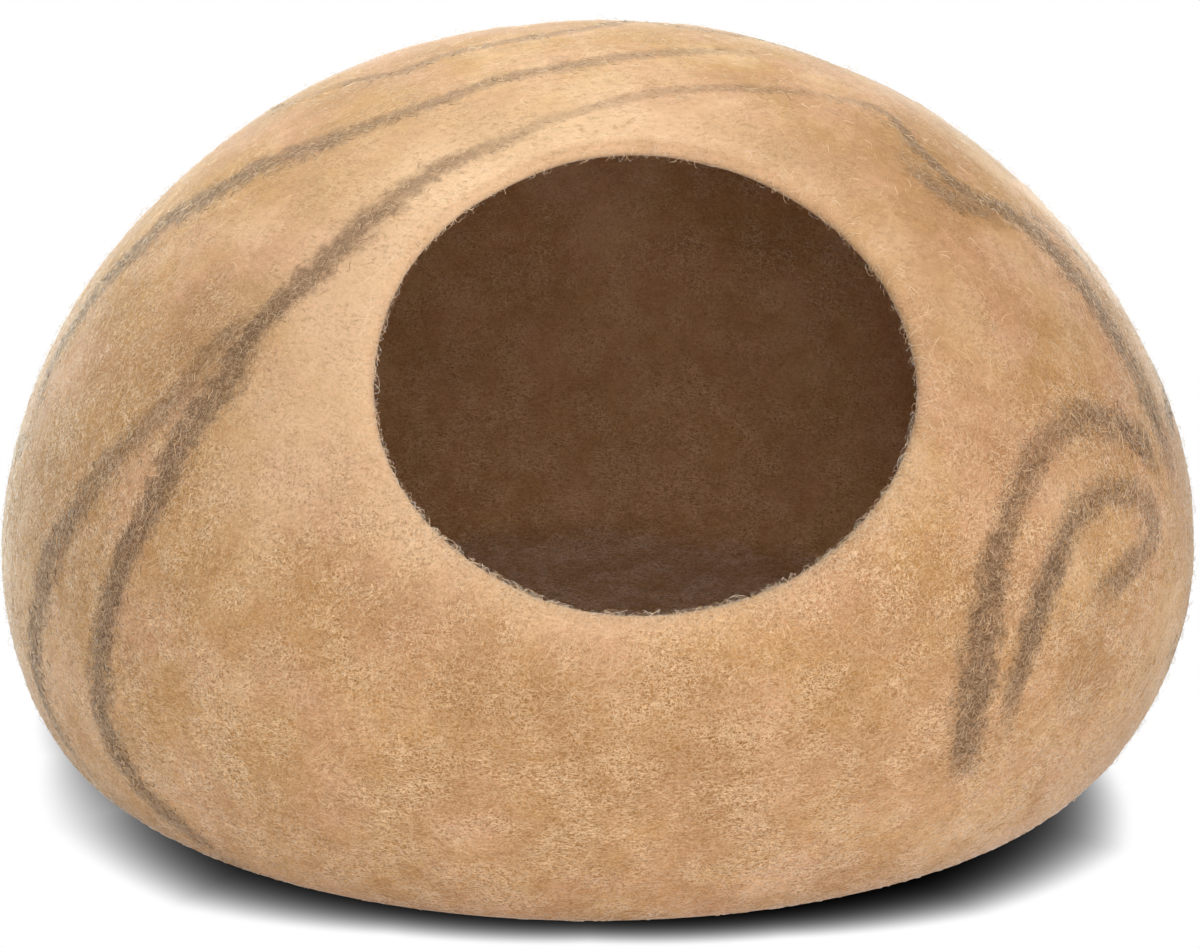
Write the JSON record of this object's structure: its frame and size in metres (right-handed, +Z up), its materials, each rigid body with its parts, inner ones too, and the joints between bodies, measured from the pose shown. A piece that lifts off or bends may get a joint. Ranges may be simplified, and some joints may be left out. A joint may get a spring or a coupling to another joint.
{
  "type": "felt cat cave",
  "caption": "Hollow domed pet bed of thick felted wool, with a round slanting mouth high on its front, dark felted-in veins and a flat base.",
  "frame": {"origin": "middle of the shell's bounding box, on the plane that it stands on", "axes": "+Z up, -Y towards the mouth, +X to the right of someone who faces the mouth"},
  "size_m": [0.4976, 0.4542, 0.2964],
  "materials": {
    "felted_wool": "matte felted wool, warm tan with soft dark grey-brown veins felted into it, short loose fibres all over"
  },
  "bodies": {
    "root": {"felt_shell": "felted_wool"}
  },
  "joints": []
}
